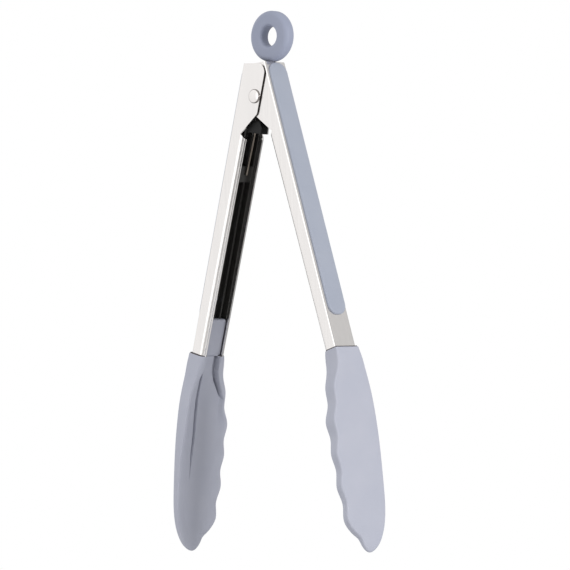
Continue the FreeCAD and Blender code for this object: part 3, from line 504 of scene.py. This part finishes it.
def silicone_tip(side, half, place):
    collar = half + SKIN
    count = OUTLINE_POINTS
    outline = tip_outline(collar, count)
    across, level = outline[:, 0], outline[:, 1]
    middle = np.maximum((level + level[::-1]) / 2, level_of(1.0) + END_SPINE)
    spine = np.stack([np.zeros(count), middle], axis=1)
    inward = spine - outline
    reach = np.linalg.norm(inward, axis=1)
    direction = inward / np.maximum(reach, 1e-6)[:, None]
    share = share_of(level)
    rim_round = RIM_ROUND(share)
    hollow_land = np.maximum(-across - HOLLOW_FAR(share), LEAST_LAND)
    scallop_land = np.where(share < NECK_SIDE_END, hollow_land, SCALLOP_LAND(share))
    land = np.where(across > 0, SMOOTH_LAND(share), scallop_land)
    fall = np.where(across > 0, SMOOTH_FALL(share), SCALLOP_FALL(share))
    land = np.minimum(np.maximum(land, rim_round + 0.1), reach * 0.45)
    fall = np.minimum(fall, (reach - land) * 0.8)

    def ring(distance, x_of):
        spot = outline + direction * np.minimum(distance, reach)[:, None]
        return np.stack([x_of(spot), spot[:, 0], spot[:, 1]], axis=1)

    def back_at(spot):
        return COLLAR_BACK - BACK(share_of(spot[:, 1]))

    def edge_at(spot):
        return COLLAR_BACK - EDGE(share_of(spot[:, 1]))

    def dish(spot):
        down = smooth_step((np.linalg.norm(spot - outline, axis=1) - land) / fall)
        return edge_at(spot) * (1 - down) + floor_x(spot[:, 0], spot[:, 1]) * down

    rings = []
    for f in (1.0, 0.8, 0.6, 0.42, 0.28, 0.18):
        rings.append(ring(reach * f, back_at))
    for inset, drop in quarter(BACK_ROUND, BACK_ROUND, 8):
        rings.append(ring(inset, lambda spot: back_at(spot) - drop))
    for f in (0.2, 0.4, 0.6, 0.8):
        rings.append(ring(0.0, lambda spot: (back_at(spot) - BACK_ROUND) * (1 - f)
                          + (edge_at(spot) + rim_round) * f))
    for a in np.linspace(0, math.pi / 2, 9):
        rings.append(ring(rim_round * (1 - math.cos(a)),
                          lambda spot: edge_at(spot) + rim_round * (1 - math.sin(a))))
    for f in (0.35, 0.7, 1.0):
        rings.append(ring(rim_round + (land - rim_round) * f, edge_at))
    for f in np.linspace(0.02, 1.0, DISH_RINGS):
        rings.append(ring(land + (reach - land) * f, dish))
    rings = np.array(rings)
    vertices = [tuple(v) for one in rings for v in one]
    faces = grid_faces(len(rings), count)

    section = np.concatenate([rings[:, 0, :2], rings[::-1, -1, :2]])
    section = section[np.linalg.norm(section - np.roll(section, 1, axis=0), axis=1) > 0.02]
    start = len(vertices)
    for inset, rise in COLLAR_LOOPS:
        loop = inset_loop(section, inset)
        vertices += [(x, y, COLLAR_TOP + rise) for x, y in loop]
    faces += grid_faces(len(COLLAR_LOOPS), len(section), start, close_columns=True)
    last = start + (len(COLLAR_LOOPS) - 1) * len(section)
    vertices.append(COLLAR_MIDDLE)
    centre = len(vertices) - 1
    for j in range(len(section)):
        faces.append((last + j, last + (j + 1) % len(section), centre))
    tip = new_object(side + "_tip", vertices, faces, TIP_SILICONE, place)
    # Painted shadow: faces in the gap above the collar's top get the dark material.
    tip.data.materials.append(COLLAR_GAP_SHADE)
    upward = place.to_3x3() @ Vector((0, 0, 1))
    gap_shade_level = upward.dot(place @ Vector((0, 0, (COLLAR_TOP + GAP_SHADE_START) * MM)))
    for face in tip.data.polygons:
        if upward.dot(face.center) > gap_shade_level:
            face.material_index = 1
    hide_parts(side + "_tip_silicone")
    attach(tip, side + "_arm")


SLAB_POINTS = 240
PAD_PROUD = 1.2
PAD_MARGIN = 1.3
PAD_TOP = 15.3
PAD_END = -131.4
PAD_CORNER = 6.0
PAD_ROUND = 0.7
PAD_CROWN = 0.06
PAD_SUNK = 0.02
NECK_GAP = 0.75
NECK_FACE = 5.7
NECK_ROUND = 1.3
NECK_ROOT = 10.5
NECK_TOP = -128.9
NECK_END = -150.6
NECK_CORNER = 1.2


def rounded_slab(name, half, top, end, radius, steps, material, place):
    """A rounded rectangle in y and z, built from steps of inset, x and share of the way in."""
    count = SLAB_POINTS
    corners = []
    for centre_y, centre_z, first in ((half - radius, top - radius, 0),
                                      (-half + radius, top - radius, 90),
                                      (-half + radius, end + radius, 180),
                                      (half - radius, end + radius, 270)):
        for angle in np.radians(np.linspace(first, first + 90, 16)):
            corners.append((centre_y + radius * math.cos(angle),
                            centre_z + radius * math.sin(angle)))
    corners.append(corners[0])
    outline = spaced(np.array(corners), count + 1)[:-1]
    spine = np.stack([np.zeros(count), np.clip(outline[:, 1], end + half, top - half)], axis=1)
    inward = spine - outline
    reach = np.linalg.norm(inward, axis=1)
    direction = inward / np.maximum(reach, 1e-6)[:, None]
    vertices = []
    for inset, x, way in steps:
        spot = outline + direction * (inset + (reach - inset) * way)[:, None]
        vertices += [(x, y, z) for y, z in spot]
    faces = grid_faces(len(steps), count, close_columns=True)
    faces.append(tuple(range(len(vertices) - count, len(vertices))))
    return new_object(name, vertices, faces, material, place)


def grip_pad(side, half, place):
    """The silicone grip: a slightly crowned strip with soft edges."""
    face = BACK_OFFSET + PAD_PROUD
    foot = BACK_OFFSET - PAD_SUNK
    steps = [(0.0, foot, 1.0), (0.6, foot, 0.0), (0.05, foot, 0.0),
             (0.0, BACK_OFFSET + 0.1, 0.0), (0.0, face - 0.75, 0.0)]
    steps += [(inset, face - PAD_CROWN - drop, 0.0)
              for inset, drop in quarter(PAD_ROUND, PAD_ROUND, 8)[::-1]]
    steps += [(PAD_ROUND, face - PAD_CROWN * (1 - way) ** 2, way)
              for way in (0.1, 0.25, 0.45, 0.7, 0.93)]
    pad = rounded_slab(side + "_pad", half - PAD_MARGIN, PAD_TOP, PAD_END, PAD_CORNER, steps,
                       PAD_SILICONE, place)
    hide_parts(side + "_grip_pad")
    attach(pad, side + "_arm")


def tip_neck(side, half, place):
    """The tip's neck, which lies between the lips up to the liner."""
    width = half - SHEET - NECK_GAP
    steps = [(0.0, NECK_ROOT, 1.0), (0.0, NECK_ROOT, 0.0), (0.0, 8.0, 0.0), (0.0, 7.2, 0.0)]
    steps += [(inset, NECK_FACE + drop, 0.0)
              for inset, drop in quarter(NECK_ROUND, NECK_ROUND, 8)[::-1]]
    steps += [(NECK_ROUND, NECK_FACE, way) for way in (0.1, 0.3)]
    neck = rounded_slab(side + "_neck", width, NECK_TOP, NECK_END, NECK_CORNER, steps,
                        TIP_SILICONE, place)
    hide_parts(side + "_tip_silicone")
    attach(neck, side + "_arm")


for side, half, place in ARMS:
    silicone_tip(side, half, place)
    grip_pad(side, half, place)
    tip_neck(side, half, place)


# ---------------------------------------------------------------- turned pieces
RING_LEVEL = 33.8
RING_RADIUS = 14.1
RING_HOLE = 5.45
RING_HALF = 3.7
RING_HOLE_ROUND = (1.9, 2.5)  # across the face, and down the wall
RING_EDGE_ROUND = (2.8, 2.5)
RIVET_REACH = 9.2
RIVET_SHANK = 2.5
HEAD_RADIUS = 3.95
HEAD_EDGE = 0.28
HEAD_ROUND = (0.6, 0.5)  # across, and up
HEAD_DOME = 0.3
HEAD_SHADE_RADIUS = 3.42  # radius outside which the head's edge is painted dark as shade


def turned(name, profile, middle, material, place, count=160):
    """A profile of (radius, y) turned about the line along y through the middle (x, z)."""
    vertices = []
    for radius, y in profile:
        for i in range(count):
            angle = 2 * math.pi * i / count
            vertices.append((middle[0] + radius * math.cos(angle), y,
                             middle[1] + radius * math.sin(angle)))
    faces = grid_faces(len(profile), count, close_columns=True)
    return new_object(name, vertices, faces, material, place)


def pull_ring():
    """Silicone ring with soft outer edges and flat faces."""
    outer, hole, half = RING_RADIUS, RING_HOLE, RING_HALF
    flat = outer - hole - RING_HOLE_ROUND[0] - RING_EDGE_ROUND[0]
    side = [(hole, 0.0), (hole, half * 0.2), (hole, half - RING_HOLE_ROUND[1])]
    side += [(hole + inset, half - drop) for inset, drop in quarter(*RING_HOLE_ROUND, 12)[::-1]]
    side += [(hole + RING_HOLE_ROUND[0] + flat * f, half) for f in (0.25, 0.5, 0.75)]
    side += [(outer - inset, half - drop) for inset, drop in quarter(*RING_EDGE_ROUND, 14)]
    side += [(outer, half * 0.2), (outer, 0.0)]
    profile = side + [(radius, -y) for radius, y in side[-2::-1]]
    ring = turned("ring", profile, (0.0, RING_LEVEL), RING_SILICONE, TO_LOCK)
    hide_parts("pull_ring")
    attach(ring, "lock")


def rivet():
    """The pivot rivet: a shank and two heads with a steep edge, painted dark as shade, and a low
    dome.
    """
    reach, edge = RIVET_REACH, RIVET_REACH + HEAD_EDGE
    crown, lift = HEAD_RADIUS - HEAD_ROUND[0], HEAD_ROUND[1]
    head = [(HEAD_RADIUS, reach - 0.02), (HEAD_RADIUS, edge)]
    head += [(crown + HEAD_ROUND[0] * math.cos(a), edge + lift * math.sin(a))
             for a in np.linspace(0.2, math.pi / 2, 7)]
    head += [(radius, edge + lift + HEAD_DOME * (1 - (radius / crown) ** 2))
             for radius in (2.8, 2.0, 1.2, 0.5, 0.001)]
    profile = [(radius, -y) for radius, y in head[::-1]]
    profile += [(RIVET_SHANK, -reach + 0.1), (RIVET_SHANK, reach - 0.1)] + head
    piece = turned("rivet", profile, (0.0, 0.0), RIVET_STEEL, AT_PIN, 96)
    # Painted shade: the faces round each head's edge get the dark material.
    piece.data.materials.append(RIVET_EDGE_SHADE)
    for face in piece.data.polygons:
        centre = face.center - PIN
        if math.hypot(centre.x, centre.z) > HEAD_SHADE_RADIUS * MM and abs(centre.y) > reach * MM:
            face.material_index = 1
    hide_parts("pivot_rivet")
    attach(piece, "left_arm")


pull_ring()
rivet()


# ---------------------------------------------------------------- spring and wedge
COIL_RADIUS = 4.4
WIRE_RADIUS = 0.62
COIL_START = 2.1
COIL_PITCH = 1.5
LEG_LENGTH = 46.0
LEG_LEAN = math.radians(1.8)  # how much further the legs splay than the arms
WIRE_SIDES = 14
WEDGE_FOOT = -20.5
WEDGE_HEIGHT = 7.0
WEDGE_HALF = 5.3
WEDGE_STEM = 3.1
WEDGE_FRONT = -6.3
WEDGE_BACK = -0.7
WEDGE_BEVEL = 0.45


def torsion_spring():
    """A coil round the back bush with one leg down each arm."""
    radius, first, leg, sides = COIL_RADIUS, COIL_START, LEG_LENGTH, WIRE_SIDES
    splay = OPEN_ANGLE + LEG_LEAN
    sweep = 2 * math.pi * 2 + math.pi - 2 * splay
    rise = COIL_PITCH * sweep / (2 * math.pi)

    def root(side, along):
        return np.array([side * radius * math.cos(splay), along, radius * math.sin(splay)])

    def down(side):
        return np.array([side * math.sin(splay), 0, -math.cos(splay)])
    start, end = root(-1, first), root(1, first + rise)
    path = [start + down(-1) * leg * f for f in np.linspace(1, 0.02, 30)]
    for t in np.linspace(0, 1, 150):
        angle = math.pi - splay - sweep * t
        path.append(np.array([radius * math.cos(angle), first + rise * t,
                              radius * math.sin(angle)]))
    path += [end + down(1) * leg * f for f in np.linspace(0.02, 1, 30)]
    path = np.array(path)
    vertices = []
    for i, spot in enumerate(path):
        heading = path[min(i + 1, len(path) - 1)] - path[max(i - 1, 0)]
        heading /= np.linalg.norm(heading)
        one = np.cross(heading, (0, 1, 0))
        one /= np.linalg.norm(one)
        two = np.cross(heading, one)
        for k in range(sides):
            angle = 2 * math.pi * k / sides
            around = math.cos(angle) * one + math.sin(angle) * two
            vertices.append(spot + WIRE_RADIUS * around)
    faces = grid_faces(len(path), sides, close_columns=True)
    faces.append(tuple(range(sides)))
    faces.append(tuple(len(vertices) - sides + k for k in range(sides)))
    spring = new_object("spring", vertices, faces, WIRE_STEEL, AT_PIN)
    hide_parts("torsion_spring")
    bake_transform(spring)


def lock_wedge():
    """The nylon block at the strip's foot, with its edges broken."""
    foot, half, stem = WEDGE_FOOT, WEDGE_HALF, WEDGE_STEM
    shoulder, top = foot + WEDGE_HEIGHT / 2, foot + WEDGE_HEIGHT
    corners = [(half, foot), (half, shoulder), (stem, top), (-stem, top), (-half, shoulder),
               (-half, foot)]
    mesh = bmesh.new()
    fronts = [mesh.verts.new((x * MM, WEDGE_FRONT * MM, z * MM)) for x, z in corners]
    backs = [mesh.verts.new((x * MM, WEDGE_BACK * MM, z * MM)) for x, z in corners]
    mesh.faces.new(fronts)
    mesh.faces.new(backs[::-1])
    for i in range(len(corners)):
        j = (i + 1) % len(corners)
        mesh.faces.new((fronts[i], backs[i], backs[j], fronts[j]))
    bmesh.ops.recalc_face_normals(mesh, faces=mesh.faces)
    bmesh.ops.bevel(mesh, geom=list(mesh.edges), offset=WEDGE_BEVEL * MM, segments=3,
                    profile=0.5, affect="EDGES")
    data = bpy.data.meshes.new("wedge")
    mesh.to_mesh(data)
    mesh.free()
    data.transform(TO_LOCK)
    data.materials.append(BUSH_NYLON)
    for face in data.polygons:
        face.use_smooth = True
    wedge = bpy.data.objects.new("wedge", data)
    bpy.context.scene.collection.objects.link(wedge)
    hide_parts("lock_wedge")
    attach(wedge, "lock")


torsion_spring()
lock_wedge()


# ---------------------------------------------------------------- floor and light
FLOOR_RADIUS = 2.2
FLOOR_DROP = 0.55
FLOOR_GREY = (0.66, 0.66, 0.66, 1)
AIM = (0.0, 0.0, -0.14)


def make_stage():
    bpy.ops.mesh.primitive_circle_add(vertices=96, radius=FLOOR_RADIUS, fill_type="NGON",
                                      location=(0, 0, cad_box[0][2] - FLOOR_DROP))
    floor = bpy.context.object
    floor.name = "floor"
    material, nodes, links, shader = new_material("pale_floor")
    shader.inputs["Base Color"].default_value = FLOOR_GREY
    shader.inputs["Roughness"].default_value = 0.9
    floor.data.materials.append(material)


def make_light(name, size, power, location):
    """A square soft box pointed at the middle of the tongs."""
    data = bpy.data.lights.new(name, "AREA")
    data.size = size
    data.energy = power
    lamp = bpy.data.objects.new(name, data)
    bpy.context.scene.collection.objects.link(lamp)
    lamp.location = location
    aim = Vector(AIM) - Vector(location)
    lamp.rotation_euler = aim.to_track_quat("-Z", "Y").to_euler()


def make_world():
    """White behind the object; the light itself is brighter from the front, left and above."""
    world = bpy.data.worlds.new("studio")
    bpy.context.scene.world = world
    world.use_nodes = True
    nodes, links = world.node_tree.nodes, world.node_tree.links
    background = nodes["Background"]
    coordinates = nodes.new("ShaderNodeTexCoord")

    def toward(direction, start, end, low, high):
        dot = nodes.new("ShaderNodeVectorMath")
        dot.operation = "DOT_PRODUCT"
        dot.inputs[1].default_value = Vector(direction).normalized()
        links.new(coordinates.outputs["Generated"], dot.inputs[0])
        light = nodes.new("ShaderNodeMapRange")
        light.interpolation_type = "SMOOTHSTEP" if start > -1 else "LINEAR"
        for key, number in zip(("From Min", "From Max", "To Min", "To Max"),
                               (start, end, low, high)):
            light.inputs[key].default_value = number
        links.new(dot.outputs["Value"], light.inputs["Value"])
        return light.outputs["Result"]
    total = toward((-0.55, -0.65, 0.52), -1.0, 1.0, 0.26, 1.08)
    for lobe in (toward((0.62, 0.74, 0.30), 0.72, 0.98, 0.0, 0.26),
                 toward((0.72, -0.69, 0.0), 0.86, 0.99, 0.0, -0.60)):
        add = nodes.new("ShaderNodeMath")
        links.new(total, add.inputs[0])
        links.new(lobe, add.inputs[1])
        total = add.outputs["Value"]
    path = nodes.new("ShaderNodeLightPath")
    shown = nodes.new("ShaderNodeMix")
    shown.data_type = "FLOAT"
    links.new(path.outputs["Is Camera Ray"], shown.inputs[0])
    links.new(total, shown.inputs[2])
    shown.inputs[3].default_value = 1.0
    background.inputs["Color"].default_value = (1, 1, 1, 1)
    links.new(shown.outputs[0], background.inputs["Strength"])


make_stage()
make_light("key", 0.5, 18.5, (1.8, 0.0, 0.02))
make_light("fill", 1.8, 6.0, (-0.1, -1.8, 0.25))
make_world()
bpy.context.scene.view_settings.view_transform = "Standard"
